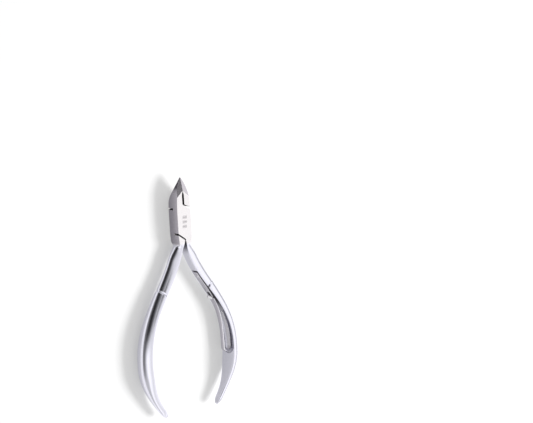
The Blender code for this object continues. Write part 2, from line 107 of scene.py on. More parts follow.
def newObject(name, data):
    # Object linked into the scene, at the origin
    made = bpy.data.objects.new(name, data)
    bpy.context.scene.collection.objects.link(made)
    return made


def gridPiece(name, points, closeAlong=False):
    # Closed skin over a grid of points, rows along a path and columns round a closed profile.
    # Open ends get a flat cap; closeAlong joins the last row to the first instead.
    rows, columns = points.shape[:2]
    index = np.arange(rows * columns).reshape(rows, columns)
    if closeAlong:
        index = np.vstack([index, index[:1]])
    nextColumn = np.roll(index, -1, axis=1)
    quads = np.stack([index[:-1], nextColumn[:-1], nextColumn[1:], index[1:]], -1).reshape(-1, 4)
    faces = [tuple(q) for q in quads.tolist()]
    if not closeAlong:
        faces += [tuple(index[0][::-1].tolist()), tuple(index[-1].tolist())]
    mesh = bpy.data.meshes.new(name)
    mesh.from_pydata((points.reshape(-1, 3) * mm).tolist(), [], faces)
    work = bmesh.new()
    work.from_mesh(mesh)
    bmesh.ops.recalc_face_normals(work, faces=work.faces)
    work.to_mesh(mesh)
    work.free()
    return newObject(name, mesh)


def applied(piece):
    # Writes the modifiers' result into the mesh
    graph = bpy.context.evaluated_depsgraph_get()
    result = bpy.data.meshes.new_from_object(piece.evaluated_get(graph))
    piece.modifiers.clear()
    piece.data = result
    return piece


def combined(target, other, operation):
    # Union or difference of two closed pieces; the second piece is used up
    cut = target.modifiers.new(operation.title(), "BOOLEAN")
    cut.operation, cut.solver, cut.object = operation, "EXACT", other
    applied(target)
    bpy.data.objects.remove(other, do_unlink=True)
    return target


crease = {
    "angle": 32,               # degrees between faces that always stay an edge
    "flatAngle": 8,            # degrees between a flat and a face beside it that stay an edge
    "flatShare": 0.001,        # a flat holds a face of more than this share of the surface
    "sameWay": 0.9999,         # cosine between faces of one flat
}


def creaseFlats(mesh):
    # Marks an edge sharp where a flat meets another flat, or meets anything else at more than
    # the flat angle, so that no corner of a flat borrows a neighbour's normal
    work = bmesh.new()
    work.from_mesh(mesh)
    normals = np.array([tuple(face.normal) for face in work.faces])
    areas = np.array([face.calc_area() for face in work.faces])
    flats, left = [], areas > 0
    while left.any():
        seed = np.argmax(np.where(left, areas, 0))
        near = left & (normals @ normals[seed] > crease["sameWay"])
        if areas[seed] < crease["flatShare"] * areas.sum():
            break
        flats.append(near)
        left &= ~near
    group = np.zeros(len(areas), int)
    for number, near in enumerate(flats, 1):
        group[near] = number
    for edge in work.edges:
        faces = edge.link_faces
        if len(faces) == 2:
            a, b = group[faces[0].index], group[faces[1].index]
            steep = edge.calc_face_angle(0) > math.radians(crease["flatAngle"])
            if a != b and (min(a, b) > 0 or steep):
                edge.smooth = False
    work.to_mesh(mesh)
    work.free()


def shaded(piece, flats=False):
    # Smooth shading that keeps flat faces flat next to small bevels
    piece.data.shade_smooth()
    piece.data.set_sharp_from_angle(angle=math.radians(crease["angle"]))
    if flats:
        creaseFlats(piece.data)
    weighted = piece.modifiers.new("weighted normals", "WEIGHTED_NORMAL")
    weighted.keep_sharp = True
    return piece


# Handle curve: inner face from the crotch to the belly, then to the tail
handle = {
    "crotchReach": 8.4,
    "crotchGap": 0.2,          # inner face to the centre line at the crotch
    "bellySpread": 23.5,       # centre line to the inner face where it is widest
    "bellyReach": 60.9,
    "tailSpread": 13.6,
    "neckPull": (0.146, 0.41),  # share of the spread out and of the fall down to the neck's point
    "bellyPull": (0.45, 0.42),  # share of the fall above and of the rest below the belly
    "tailPull": (0.65, 0.30),   # share of the spread in and of the rest above the tail
    "neckWidth": 4.7,
    "neckDepth": 4.9,
    "bellyDepth": 4.5,
    "tailShare": (0.42, 0.56),  # tail's width and depth as shares of the belly's
    "sectionPower": 2.15,      # 2 is a half ellipse, more is squarer
    "edgeRadius": 0.28,        # round between the flat inner face and the outside
    "ringReach": 32.1,
    "ringWidth": 1.0,
    "ringDepth": 0.32,
    "ringShoulder": 0.10,      # grip stands this much prouder than the neck at the ring
    "rootDepth": 2.9,
    "rootStep": 0.3,           # root narrower than the head by this
    "rootStart": 9.0,          # first section, inside the joint block
    "rootSquare": 9.6,         # square section to here
    "rootRound": 12.6,         # and the full handle section from here
    "rootPower": 40,           # a superellipse this high is a square
    "rootInset": 0.005,        # the root stays this far inside the joint block
    "tailRound": 3.2,          # length over which the tail closes
    "tailAxis": 0.42,          # and the share of the depth that it closes on
}


def handleTable():
    # Inner face of the right handle as two cubic curves that meet at the belly: points, and
    # unit tangents towards the tail
    h = handle
    fall = h["bellyReach"] - h["crotchReach"]
    rest = handleReach - h["bellyReach"]
    spread = h["bellySpread"] - h["tailSpread"]
    belly = (h["bellySpread"], -h["bellyReach"])
    upper = [
        (h["crotchGap"], -h["crotchReach"]),
        (h["crotchGap"] + h["neckPull"][0] * h["bellySpread"],
         -h["crotchReach"] - h["neckPull"][1] * fall),
        (h["bellySpread"], -h["bellyReach"] + h["bellyPull"][0] * fall),
        belly,
    ]
    lower = [
        belly,
        (h["bellySpread"], -h["bellyReach"] - h["bellyPull"][1] * rest),
        (h["tailSpread"] + h["tailPull"][0] * spread, -handleReach + h["tailPull"][1] * rest),
        (h["tailSpread"], -handleReach),
    ]
    t = np.linspace(0, 1, 1500)
    line = np.vstack([cubicCurve(upper, t)[:-1], cubicCurve(lower, t)])
    return line, unit(np.gradient(line, axis=0))


handleLine, handleTangent = handleTable()
tailReach = handleReach - 0.05  # last section, just inside the end of the curve


def innerFace(reach):
    # Points, tangents and outward normals of the inner face at each reach below the pivot
    place = -handleLine[:, 1]
    point = np.stack([np.interp(reach, place, handleLine[:, i]) for i in (0, 1)], -1)
    tangent = unit(np.stack([np.interp(reach, place, handleTangent[:, i]) for i in (0, 1)], -1))
    return point, tangent, np.stack([-tangent[:, 1], tangent[:, 0]], -1)


def offFace(reach, lift):
    # Points at a height above the inner face, towards the other handle
    point, _, normal = innerFace(reach)
    return point - normal * np.reshape(lift, (-1, 1))


knuckleReach = 37.0  # the knuckle's foot on the inner face, and the face's directions there
knuckleFoot, knuckleTangent, knuckleNormal = (row[0] for row in innerFace(np.array([knuckleReach])))


def handleSection(reach):
    # Half width along Z and outward depth of the handle at each reach, eased between stations
    # that lie at shares of the grip, from root to belly, and of the end, from belly to tail
    h = handle
    grip = h["bellyReach"] - h["crotchReach"]
    end = handleReach - h["bellyReach"]
    neck, belly = h["crotchReach"], h["bellyReach"]
    width = easeBetween([
        (neck, headThickness - h["rootStep"]),
        (neck + 0.13 * grip, h["neckWidth"] + 0.1),
        (neck + 0.25 * grip, h["neckWidth"]),
        (belly - 0.05 * grip, bellyWidth),
        (belly + 0.2 * end, bellyWidth),
        (handleReach - 0.12 * end, h["tailShare"][0] * bellyWidth),
    ], reach)
    depth = easeBetween([
        (neck, h["rootDepth"]),
        (neck + 0.2 * grip, h["neckDepth"]),
        (belly - 0.3 * grip, 0.95 * h["bellyDepth"]),
        (belly + 0.15 * end, h["bellyDepth"]),
        (handleReach - 0.12 * end, h["tailShare"][1] * h["bellyDepth"]),
    ], reach)
    return width / 2, depth


def sectionProfile(half, depth, radius, power, arcPoints=57, cornerPoints=7, flatPoints=15):
    # Closed D profile as (out, rise): a superellipse outside, two quarter-circle corners and a
    # flat inner face. half, depth and radius are columns, one row of the result for each.
    half, depth, radius, power = (np.reshape(v, (-1, 1)) for v in (half, depth, radius, power))
    limit = np.arccos(np.clip((radius / depth) ** (power / 2), 0, 1))
    angle = limit * np.linspace(-1, 1, arcPoints)
    out = depth * np.cos(angle) ** (2 / power)
    rise = half * np.abs(np.sin(angle)) ** (2 / power) * np.sign(angle)
    top = rise[:, -1:]
    turn = np.linspace(0, 0.5 * math.pi, cornerPoints + 1)[1:]
    cornerOut = radius * (1 - np.sin(turn))
    cornerRise = top - radius * (1 - np.cos(turn))
    across = np.linspace(1, -1, flatPoints + 2)[1:-1]
    flatRise = (top - radius) * across
    out = np.hstack([out, cornerOut, 0 * flatRise, cornerOut[:, ::-1]])
    rise = np.hstack([rise, cornerRise, flatRise, -cornerRise[:, ::-1]])
    return out, rise


def handleSurface(name, side, outerHalfWidth):
    # Handle as a D profile carried along the inner face. It starts as a square section inside
    # the joint block and eases into the D section; the tail closes along a quarter ellipse.
    h = handle
    ring, width = h["ringReach"], h["ringWidth"]
    reach = np.unique(np.concatenate([
        np.linspace(h["rootStart"], h["rootRound"] + 2, 34),
        np.linspace(h["rootRound"] + 2, tailReach - h["tailRound"], 190),
        np.linspace(ring - width, ring + width, 33),
        tailReach - h["tailRound"] * np.cos(np.linspace(0, 0.5 * math.pi, 22)),
    ]))
    point, _, normal = innerFace(reach)
    half, depth = handleSection(reach)
    groove = np.clip(1 - np.abs(reach - ring) / (width / 2), 0, 1)
    trim = h["ringDepth"] * groove * groove * (3 - 2 * groove)
    proud = h["ringShoulder"] * easeBetween([(ring - 0.2, 0), (ring + 0.2, 1), (ring + 9, 0)], reach)
    half, depth = half - trim + proud, depth - trim + proud

    rounded = easeBetween([(h["rootSquare"], 0), (h["rootRound"], 1)], reach)
    outer = outerHalfWidth(-reach)
    inset = h["rootInset"]
    half = (1 - rounded) * (headThickness / 2 - inset) + rounded * half
    depth = (1 - rounded) * (outer - inset - point[:, 0]) + rounded * depth
    power = 2 / (rounded * 2 / h["sectionPower"] + (1 - rounded) * 2 / h["rootPower"])
    radius = h["edgeRadius"] * (0.3 + 0.7 * rounded)
    out, rise = sectionProfile(half, depth, radius, power)
    across = unit(rounded[:, None] * normal + (1 - rounded)[:, None] * np.array([1.0, 0.0]))

    closing = np.clip((reach - (tailReach - h["tailRound"])) / h["tailRound"], 0, 1)
    shrink = np.sqrt(np.clip(1 - closing**2, 0.0004, 1))[:, None]
    axis = h["tailAxis"] * depth[:, None]
    out = axis + (out - axis) * shrink
    rise = rise * shrink
    place = point[:, None, :] + across[:, None, :] * out[..., None]
    grid = np.stack([side * place[..., 0], place[..., 1], mid + rise], -1)
    return gridPiece(name, grid)


# Joint block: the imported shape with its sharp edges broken
head = {
    "cutReach": 9.45,          # the block is kept down to here
    "spareReach": 1.0,         # and this much more while its edges are bevelled
    "shortest": 0.12,          # edges shorter than this are left sharp
    "edgeBreak": 0.075,        # bevel on its edges
    "sharpAngle": 24,          # degrees between faces that count as an edge
    "jawEdgeHalf": 0.2,        # the cutting edges, inside this of the centre line, stay sharp
    "jawEdgeReach": 11.5,
    "waist": [(-11.4, 3.4), (-5.4, 3.75)],  # Y and half width in plan, towards the handles
}


def headBlock(node):
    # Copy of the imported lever, merged, with its edges bevelled, then cut off below the crotch
    mesh = nodes[node].data.copy()
    mesh.materials.clear()
    work = bmesh.new()
    work.from_mesh(mesh)
    bmesh.ops.remove_doubles(work, verts=work.verts, dist=2e-6)
    everything = work.verts[:] + work.edges[:] + work.faces[:]
    spare = (0, -(head["cutReach"] + head["spareReach"]) * mm, 0)
    bmesh.ops.bisect_plane(work, geom=everything, plane_co=spare, plane_no=(0, 1, 0),
                           clear_inner=True)
    bmesh.ops.dissolve_limit(work, angle_limit=math.radians(0.6), verts=work.verts,
                             edges=work.edges)
    edges = []
    for edge in work.edges:
        if len(edge.link_faces) < 2 or edge.calc_length() < head["shortest"] * mm:
            continue
        a, b = (vertex.co / mm for vertex in edge.verts)
        nearCentre = max(abs(a.x), abs(b.x)) < head["jawEdgeHalf"]
        onJaw = min(a.y, b.y) > head["jawEdgeReach"] and nearCentre
        if edge.calc_face_angle(0) > math.radians(head["sharpAngle"]) and not onJaw:
            edges.append(edge)
    bmesh.ops.bevel(work, geom=edges, offset=head["edgeBreak"] * mm, offset_type="OFFSET",
                    segments=2, profile=0.5, affect="EDGES", clamp_overlap=True)
    everything = work.verts[:] + work.edges[:] + work.faces[:]
    cut = bmesh.ops.bisect_plane(work, geom=everything, plane_co=(0, -head["cutReach"] * mm, 0),
                                 plane_no=(0, 1, 0), clear_inner=True)
    rim = [e for e in cut["geom_cut"] if isinstance(e, bmesh.types.BMEdge)]
    bmesh.ops.holes_fill(work, edges=rim, sides=0)
    bmesh.ops.remove_doubles(work, verts=work.verts, dist=1e-6)
    print(node, "head: open edges", sum(1 for e in work.edges if len(e.link_faces) != 2))
    work.to_mesh(mesh)
    work.free()
    return newObject(node + "_head", mesh)


def headHalfWidth(y):
    # Half the plan width of the joint block where it narrows towards the handles
    return easeBetween(head["waist"], y)


# Trough in the right handle
trough = {
    "topReach": 24.1,
    "endReach": 65.225,
    "depth": 1.3,              # below the knuckle
    "seatDepth": 0.654,        # under the strap
    "seatRun": 5.0,            # it deepens over this length above the knuckle
    "land": 0.22,              # flat left along each edge of the inner face
    "endRound": 3.7,
    "power": 2.4,              # bowl across: 2 is a parabola, more is flatter
    "lipRound": 0.07,
    # painted shade in the trough's seat, darker with depth and under the spring
    "shade": 0.35,             # depth at which the seat is fully dark
    # reach and share of the painted shadow that the strap and the bow throw on the seat
    "covered": [(23.5, 0), (24.2, 1), (39.5, 1), (45.0, 0.45), (52.0, 0.2), (60.0, 0.2)],
}


def troughCutter():
    # Trough as a bowl-shaped profile carried along the inner face; its lower end closes as an
    # ellipse. Above the face the cutter flares a little, which breaks the trough's edge.
    start, end = trough["topReach"], trough["endReach"]
    reach = start + (end - start) * np.sin(0.5 * math.pi * np.linspace(0, 1, 110))
    half = handleSection(reach)[0] - trough["land"]
    intoEnd = np.clip((reach - end) / trough["endRound"] + 1, 0, 1)
    half = half * np.maximum(np.sqrt(1 - intoEnd**2), 0.06)
    deep = easeBetween([(knuckleReach - trough["seatRun"], trough["seatDepth"]),
                        (knuckleReach, trough["depth"])], reach)
    deep = deep * (1 - 0.6 * intoEnd**4)
    across = np.sin(0.5 * math.pi * np.linspace(-1, 1, 25))
    lift = -deep[:, None] * (1 - np.abs(across) ** trough["power"])
    rise = half[:, None] * across
    lip = trough["lipRound"]
    mouth = np.array([lip, 1.0, 1.0, lip])  # up one side and down the other, above the face
    spread = np.array([1.0, 1.0, -1.0, -1.0])
    lift = np.hstack([lift, np.broadcast_to(mouth, (len(reach), 4))])
    rise = np.hstack([rise, (half[:, None] + lip) * spread])
    point, _, normal = innerFace(reach)
    place = point[:, None, :] - normal[:, None, :] * lift[..., None]
    return gridPiece("troughCutter", np.concatenate([place, (mid + rise)[..., None]], -1))


def paintSeatShade(mesh):
    # Attribute "seat": how dark the painted shade is at a point of the trough, its depth below the
    # inner face over the full shade depth, held to 0 and 1, times the share by which the spring covers
    # it
    place = np.empty(len(mesh.vertices) * 3)
    mesh.vertices.foreach_get("co", place)
    place = place.reshape(-1, 3) / mm
    reach = -place[:, 1]
    point, _, normal = innerFace(reach)
    below = ((place[:, :2] - point) * normal).sum(1)
    half = handleSection(reach)[0] - 0.8 * trough["land"]
    inside = (np.abs(place[:, 2] - mid) < half) & (below > 0.02) & (below < trough["depth"] + 0.1)
    covered = easeBetween(trough["covered"], reach)
    seat = mesh.attributes.new("seat", "FLOAT", "POINT")
    dark = np.clip(below / trough["shade"], 0, 1) * covered
    seat.data.foreach_set("value", np.where(inside, dark, 0.0))


def lever(name, node, side):
    # Joint block and handle as one piece; side is 1 for the right handle, which has the trough
    made = headBlock(node)
    made.name = made.data.name = name
    combined(made, handleSurface("handle", side, headHalfWidth), "UNION")
    if side > 0:
        combined(made, troughCutter(), "DIFFERENCE")
        paintSeatShade(made.data)
    return shaded(made, flats=True)


rightLever = lever("rightHandleLever", "front_lever", 1)
leftLever = lever("leftHandleLever", "rear_lever", -1)
print("levers made")


# Fold-out spring: strap, bow and their pins
spring = {
    "strapWidth": 2.4,
    "strapTopReach": 24.9,
    "strapThickness": 0.55,
    "strapSink": 0.10,         # strap's middle plane below the inner face
    "curlRadius": 0.65,        # middle of the rolled leaf round the knuckle pin
    "curlThickness": 0.40,
    "curlTurn": 298,           # degrees that the bow's end is rolled
    "windowLength": 2.7,       # knuckle to the upper end of the strap's window
    "windowRound": 0.4,
    "strapLength": 12.1,       # along the strap to where it starts to curl
    "barrelWidth": 1.6,
    "barrelGap": 0.1,
    "bowWidth": 2.8,
    "noseWidth": 2.0,
    "tipWidth": 0.9,
    "bowThickness": 0.50,
    "noseThickness": 0.68,
    "tipThickness": 0.35,
    "armPull": (0.33, 0.36),   # the long arm's curve leaves each end for this share of its length
    "armFill": 0.25,           # and stands this much fuller before the nose
    "bowLift": 3.0,            # long arm above the inner face, at the nose
    "noseReach": 62.0,
    "returnReach": 45.5,       # upper end of the return arm
    "returnDepth": 0.75,       # return arm below the inner face
    "edgeRound": 0.12,
    "pinRadius": 0.40,
    "rivetRadius": 0.60,
    "rivetPlace": 2.2,         # rivet below the strap's upper end
    "rivetLength": 2.4,        # into the handle
    "rivetEdge": 0.1,          # roll at the edge of the rivet's head
    "rivetDome": 0.10,
    "pinEdge": 0.08,           # and at the ends of the knuckle pin
    "pinDome": 0.12,
}
leafStep = 0.09  # length between the sections of a leaf


def stripPiece(name, line, widths, thickness, radius):
    # Leaf as a rounded rectangle carried along a line in the XY plane, its width along Z.
    # The profile closes along a quarter ellipse at both ends.
    length = np.concatenate([[0], np.cumsum(np.linalg.norm(np.diff(line, axis=0), axis=1))])
    along = unit(np.gradient(line, length, axis=0))
    side = np.stack([-along[:, 1], along[:, 0]], -1)
    turn = np.linspace(0, 0.5 * math.pi, 5)
    corner = np.stack([np.cos(turn), np.sin(turn)])
    signs = ((1, 1), (-1, 1), (-1, -1), (1, -1))
    rounds = [corner if a * b > 0 else corner[:, ::-1] for a, b in signs]
    fromEnd = np.minimum(length, length[-1] - length)
    close = np.sqrt(1 - (1 - np.clip(fromEnd / radius, 0, 1)) ** 2 * 0.96)
    halfT, halfW = (thickness / 2 * close)[:, None], (widths / 2 - radius * (1 - close))[:, None]
    r = np.minimum(radius, 0.98 * halfT)
    u = np.hstack([a * (halfT - r + r * c[0]) for (a, b), c in zip(signs, rounds)])
    v = np.hstack([b * (halfW - r + r * c[1]) for (a, b), c in zip(signs, rounds)])
    place = line[:, None, :] + side[:, None, :] * u[..., None]
    made = gridPiece(name, np.concatenate([place, (mid + v)[..., None]], -1))
    along = made.data.attributes.new("along", "FLOAT", "POINT")
    along.data.foreach_set("value", np.repeat(length, u.shape[1]))
    return made


def evenLine(points, step):
    # The same line with points at equal steps along its length
    length = np.concatenate([[0], np.cumsum(np.linalg.norm(np.diff(points, axis=0), axis=1))])
    places = np.linspace(0, length[-1], int(length[-1] / step) + 1)
    return np.stack([np.interp(places, length, points[:, i]) for i in (0, 1)], -1)


def curl(start, end, radius):
    # Arc about the knuckle; angle 0 is its handle side and it turns towards the tail
    turn = np.radians(np.linspace(start, end, 60))[:, None]
    return knuckleCentre + radius * (knuckleNormal * np.cos(turn) + knuckleTangent * np.sin(turn))


def strapPiece():
    # Strap: a leaf along the seat that lifts to the knuckle and curls round it, less a window
    # that splits the curl into a fork
    sp = spring
    reach = np.linspace(sp["strapTopReach"], knuckleReach - 0.05, 80)
    knee = np.dot(knuckleFoot - knuckleCentre, knuckleNormal)  # knuckle centre above the inner face
    lifts = easeBetween([(knuckleReach - trough["seatRun"], -sp["strapSink"]),
                         (knuckleReach, knee - sp["curlRadius"])], reach)
    line = evenLine(np.vstack([offFace(reach, lifts), curl(2, 285, sp["curlRadius"])]), leafStep)
    bend = np.linalg.norm(line - knuckleCentre, axis=1)
    thickness = easeBetween([(0.9, sp["curlThickness"]), (3.0, sp["strapThickness"])], bend)
    width = np.full(len(line), sp["strapWidth"])
    strap = stripPiece("springStrap", line, width, thickness, sp["edgeRound"])
    # the window's upper corners are quarter circles, and it runs past both walls of the curl
    half = sp["barrelWidth"] / 2 + sp["barrelGap"]
    corner, past = sp["windowRound"], 2.0
    upper = np.linspace(-sp["windowLength"], -sp["windowLength"] + corner, 9)
    place = np.concatenate([upper, [past]])
    rise = half - corner * (1 - np.sqrt(1 - np.clip((upper[-1] - place) / corner, 0, 1) ** 2))
    rows = knuckleCentre + knuckleTangent * place[:, None]
    out = past * np.array([-1.0, 1.0, 1.0, -1.0])
    sign = np.array([-1.0, -1.0, 1.0, 1.0])
    grid = np.concatenate([rows[:, None, :] + knuckleNormal * out[None, :, None],
                           (mid + rise[:, None] * sign)[..., None]], -1)
    return combined(strap, gridPiece("window", grid), "DIFFERENCE")


def bowPiece():
    # Bow: a leaf from its curl round the knuckle along a cubic curve to the nose, a half circle
    # there, and a return arm that follows the bottom of the trough
    sp = spring
    start = knuckleCentre + knuckleNormal * sp["curlRadius"]
    noseFoot, noseTangent, noseNormal = (row[0] for row in innerFace(np.array([sp["noseReach"]])))
    noseIn = noseFoot - noseNormal * sp["bowLift"]
    arm = np.linalg.norm(noseIn - start)
    leave, arrive = (pull * arm for pull in sp["armPull"])
    armLine = cubicCurve([start, start + knuckleTangent * leave,
                          noseIn - noseTangent * arrive - noseNormal * sp["armFill"], noseIn],
                         np.linspace(0, 1, 120))
    radius = (sp["bowLift"] + sp["returnDepth"]) / 2
    turn = np.linspace(0, math.pi, 50)[1:-1, None]
    around = noseTangent * np.sin(turn) - noseNormal * np.cos(turn)
    bend = noseIn + radius * (noseNormal + around)
    back = np.linspace(sp["noseReach"], sp["returnReach"], 60)
    returnArm = offFace(back, -sp["returnDepth"])
    rolled = curl(-2 - sp["curlTurn"], -2, sp["curlRadius"])
    line = evenLine(np.vstack([rolled, armLine, bend, returnArm]), leafStep)
    curlEnd = math.radians(sp["curlTurn"]) * sp["curlRadius"]
    place = np.arange(len(line)) * np.linalg.norm(line[1] - line[0])
    total = place[-1]
    returnStart = total - np.linalg.norm(np.diff(returnArm, axis=0), axis=1).sum()
    width = easeBetween([(curlEnd + 0.5, sp["barrelWidth"]), (curlEnd + 1.6, sp["bowWidth"]),
                         (curlEnd + 9, sp["bowWidth"]), (curlEnd + 20, sp["noseWidth"]),
                         (returnStart + 8, sp["noseWidth"]), (total, sp["tipWidth"])], place)
    thickness = easeBetween([(curlEnd, sp["curlThickness"]), (curlEnd + 3, sp["bowThickness"]),
                             (curlEnd + 12, sp["bowThickness"]), (returnStart - 3, sp["noseThickness"]),
                             (returnStart + 6, sp["bowThickness"]),
                             (total, sp["tipThickness"])], place)
    return stripPiece("bowSpring", line, width, thickness, sp["edgeRound"])


def lathe(name, profile, centre, axis, across):
    # Profile of (radius, height) turned about an axis, closed by small caps at both ends
    radius, height = np.array(profile, float).T
    angle = np.linspace(0, 2 * math.pi, 65)[:-1]
    axis, across = np.array(axis, float), np.array(across, float)
    other = np.cross(axis, across)
    ring = across * np.cos(angle)[:, None] + other * np.sin(angle)[:, None]
    grid = np.array(centre) + radius[:, None, None] * ring + height[:, None, None] * axis
    return gridPiece(name, grid)


def roundedPin(radius, low, high, edge, dome):
    # Half outline of a pin: domed ends that roll over into its side
    turn = np.linspace(0, 0.5 * math.pi, 7)
    inner = np.linspace(0.02, radius - edge, 7)
    crown = dome * (1 - (inner / (radius - edge)) ** 2)
    roll = np.stack([radius - edge + edge * np.sin(turn), edge * (1 - np.cos(turn))], -1)
    bottom = np.vstack([np.stack([inner, low - crown], -1), roll[1:] + [0, low]])
    top = np.vstack([np.stack([inner, high + crown], -1), roll[1:] * [1, -1] + [0, high]])[::-1]
    return np.vstack([bottom, top])


strap = shaded(strapPiece())
bow = shaded(bowPiece())
knuckleAt = (*knuckleCentre, mid)
strapHalf = spring["strapWidth"] / 2
pinStand = 0.02  # a pin's end stands this proud of what it holds
pinEnd = strapHalf + pinStand
knuckleOutline = roundedPin(spring["pinRadius"], -pinEnd, pinEnd, spring["pinEdge"],
                            spring["pinDome"])
knucklePin = shaded(lathe("knucklePin", knuckleOutline, knuckleAt, (0, 0, 1), (1, 0, 0)))
rivetFoot, _, rivetNormal = (row[0] for row in innerFace(
    np.array([spring["strapTopReach"] + spring["rivetPlace"]])))
rivetOut = spring["strapThickness"] / 2 - spring["strapSink"]
rivetOutline = roundedPin(spring["rivetRadius"], -rivetOut - pinStand, spring["rivetLength"],
                          spring["rivetEdge"], spring["rivetDome"])
strapRivet = shaded(lathe("strapRivet", rivetOutline, (*rivetFoot, mid), (*rivetNormal, 0),
                          (0, 0, 1)))

# Pivot pin: a flush head with a centre dimple and a rounded rim, then the shank
pinHead = (pinHigh[0] - pinLow[0]) / 2
headDepth, shank, pinTop = 1.1, 1.8, pinHigh[2]
pivotOutline = [(0.02, 0.14), (0.25, 0.14), (0.42, 0.0),
                (pinHead - 0.12, 0.0), (pinHead - 0.03, 0.03), (pinHead, 0.12),
                (pinHead, headDepth), (shank, headDepth),
                (shank, pinTop - 0.1), (shank - 0.1, pinTop), (0.02, pinTop)]
pivotPin = shaded(lathe("pivotPin", pivotOutline, (0, 0, 0), (0, 0, 1), (1, 0, 0)))
print("spring and pins made")


class Value:
    # A shader socket that Python's own operators work on, each as one maths node
    def __init__(self, tree, socket):
        self.tree, self.socket = tree, socket

    def maths(self, operation, *others):
        # One maths node on this socket and up to two more sockets or numbers
        made = self.tree.nodes.new("ShaderNodeMath")
        made.operation = operation
        for place, item in zip(made.inputs, (self, *others)):
            if isinstance(item, Value):
                self.tree.links.new(item.socket, place)
            else:
                place.default_value = item
        return Value(self.tree, made.outputs[0])

    def __add__(self, other):
        return self.maths("ADD", other)

    def __mul__(self, other):
        return self.maths("MULTIPLY", other)

    def __sub__(self, other):
        return self.maths("SUBTRACT", other)

    def __truediv__(self, other):
        return self.maths("DIVIDE", other)

    def __neg__(self):
        return self * -1.0

    def __rsub__(self, other):
        return -self + other

    __radd__, __rmul__ = __add__, __mul__


class Shader:
    # Nodes of one material or world
    def __init__(self, owner):
        owner.use_nodes = True
        self.tree = owner.node_tree
        self.tree.nodes.clear()

    def node(self, kind, settings=None, **sockets):
        # One node of a type, its settings, and its sockets by name, or as in0, in1 by number
        made = self.tree.nodes.new("ShaderNode" + kind)
        for name, value in (settings or {}).items():
            if name == "stops":
                ramp = made.color_ramp
                while len(ramp.elements) < len(value):
                    ramp.elements.new(1.0)
                for element, (place, colour) in zip(ramp.elements, value):
                    element.position, element.color = place, (*colour, 1.0)
            else:
                setattr(made, name, value)
        for name, value in sockets.items():
            self.feed(made, name, value)
        return made

    def feed(self, node, name, value):
        # Links a socket, or sets its value
        key = int(name[2:]) if name.startswith("in") and name[2:].isdigit() else name.replace("_", " ")
        place = node.inputs[key]
        if isinstance(value, Value):
            self.tree.links.new(value.socket, place)
        else:
            place.default_value = value

    def out(self, node, name=0):
        # A node's output, by name or number
        return Value(self.tree, node.outputs[name])

    def objectPlace(self):
        # X, Y and Z of the point in millimetres
        place = self.node("TexCoord")
        parts = self.node("SeparateXYZ", Vector=self.out(place, "Object"))
        return [self.out(parts, axis) * 1000.0 for axis in "XYZ"]

    def between(self, value, low, high, start=0.0, end=1.0):
        # Smooth step from start to end as the value goes from low to high
        return self.out(self.node("MapRange", {"interpolation_type": "SMOOTHSTEP"},
                                  in0=value, in1=low, in2=high, in3=start, in4=end))

    def facing(self):
        # X, Y and Z of the direction that the surface faces, in the piece's own axes
        place = self.node("TexCoord")
        parts = self.node("SeparateXYZ", Vector=self.out(place, "Normal"))
        return [self.out(parts, axis) for axis in "XYZ"]

    def attribute(self, name):
        # A number stored on the mesh
        return self.out(self.node("Attribute", {"attribute_type": "GEOMETRY",
                                                "attribute_name": name}), "Fac")

    def stretchedNoise(self, stretch, scale, detail=3.0, rough=0.5):
        # Noise over the piece's own coordinates; a small share in stretch draws it out that way
        place = self.node("TexCoord")
        turned = self.node("Mapping", Vector=self.out(place, "Object"), Scale=stretch)
        return self.out(self.node("TexNoise", Vector=self.out(turned), Scale=scale,
                                  Detail=detail, Roughness=rough), "Fac")

    def mixColour(self, share, first, second):
        # first * (1 - share) + second * share
        made = self.node("Mix", {"data_type": "RGBA"})
        for key, value in ((0, share), (6, first), (7, second)):
            place = made.inputs[key]
            if isinstance(value, Value):
                self.tree.links.new(value.socket, place)
            else:
                place.default_value = value if key == 0 else (*value, 1.0)
        return Value(self.tree, made.outputs[2])


steel = {
    "satinColour": (0.78, 0.775, 0.86),
    "groundColour": (0.87, 0.84, 0.85),
    # the next four colours are painted shade on the jaw facets, the sides and in the gaps; the one
    # after is a painted highlight
    "facetColour": (0.55, 0.52, 0.56),
    "sideLow": (0.35, 0.33, 0.37),
    "sideHigh": (0.52, 0.49, 0.54),
    "gapColour": (0.04, 0.035, 0.045),
    "rubbedColour": (0.96, 0.95, 0.97),
    "springColour": (0.60, 0.58, 0.64),
    "pinColour": (0.74, 0.73, 0.77),
    "satinRoughness": 0.17,
    "groundRoughness": 0.26,
    "leafRoughness": 0.24,
}

# Where a lever's finish or its painted shade changes, in millimetres, each as (from, to) of a smooth
# step
zones = {
    "headY": (-11.2, -9.9),    # satin handle to ground head
    # where the painted shade in the shoulder gaps, the slit and the crotch lies
    "shoulderLowY": (-11.0, -8.6),
    "shoulderHighY": (9.0, 8.0),
    "slitX": (1.4, 1.0),
    "slitY": (5.0, 6.0),
    "crotchX": (3.2, 2.2),
    "crotchY": (-16.5, -11.0),
    # painted shade on the head's sides, darker towards the rear
    "sideZ": (0.5, 6.0),       # sides are darker towards the rear
    # where the jaw facets' painted shade starts
    "jawY": (10.0, 10.4),
}

# Three short groups of strokes etched on the front face, as a maker's plain tally
tally = {
    "left": -1.25,
    "low": -3.4,
    "lean": -0.07,             # strokes drift this much in X for each mm up
    "groupHeight": 1.55,
    "groupPitch": 2.05,
    "groups": 3,
    "strokePitch": 0.62,
    "strokes": 4,
    "zigzag": 0.16,            # a stroke drifts this much more for each mm up its group
    "colour": (0.34, 0.32, 0.34),
}


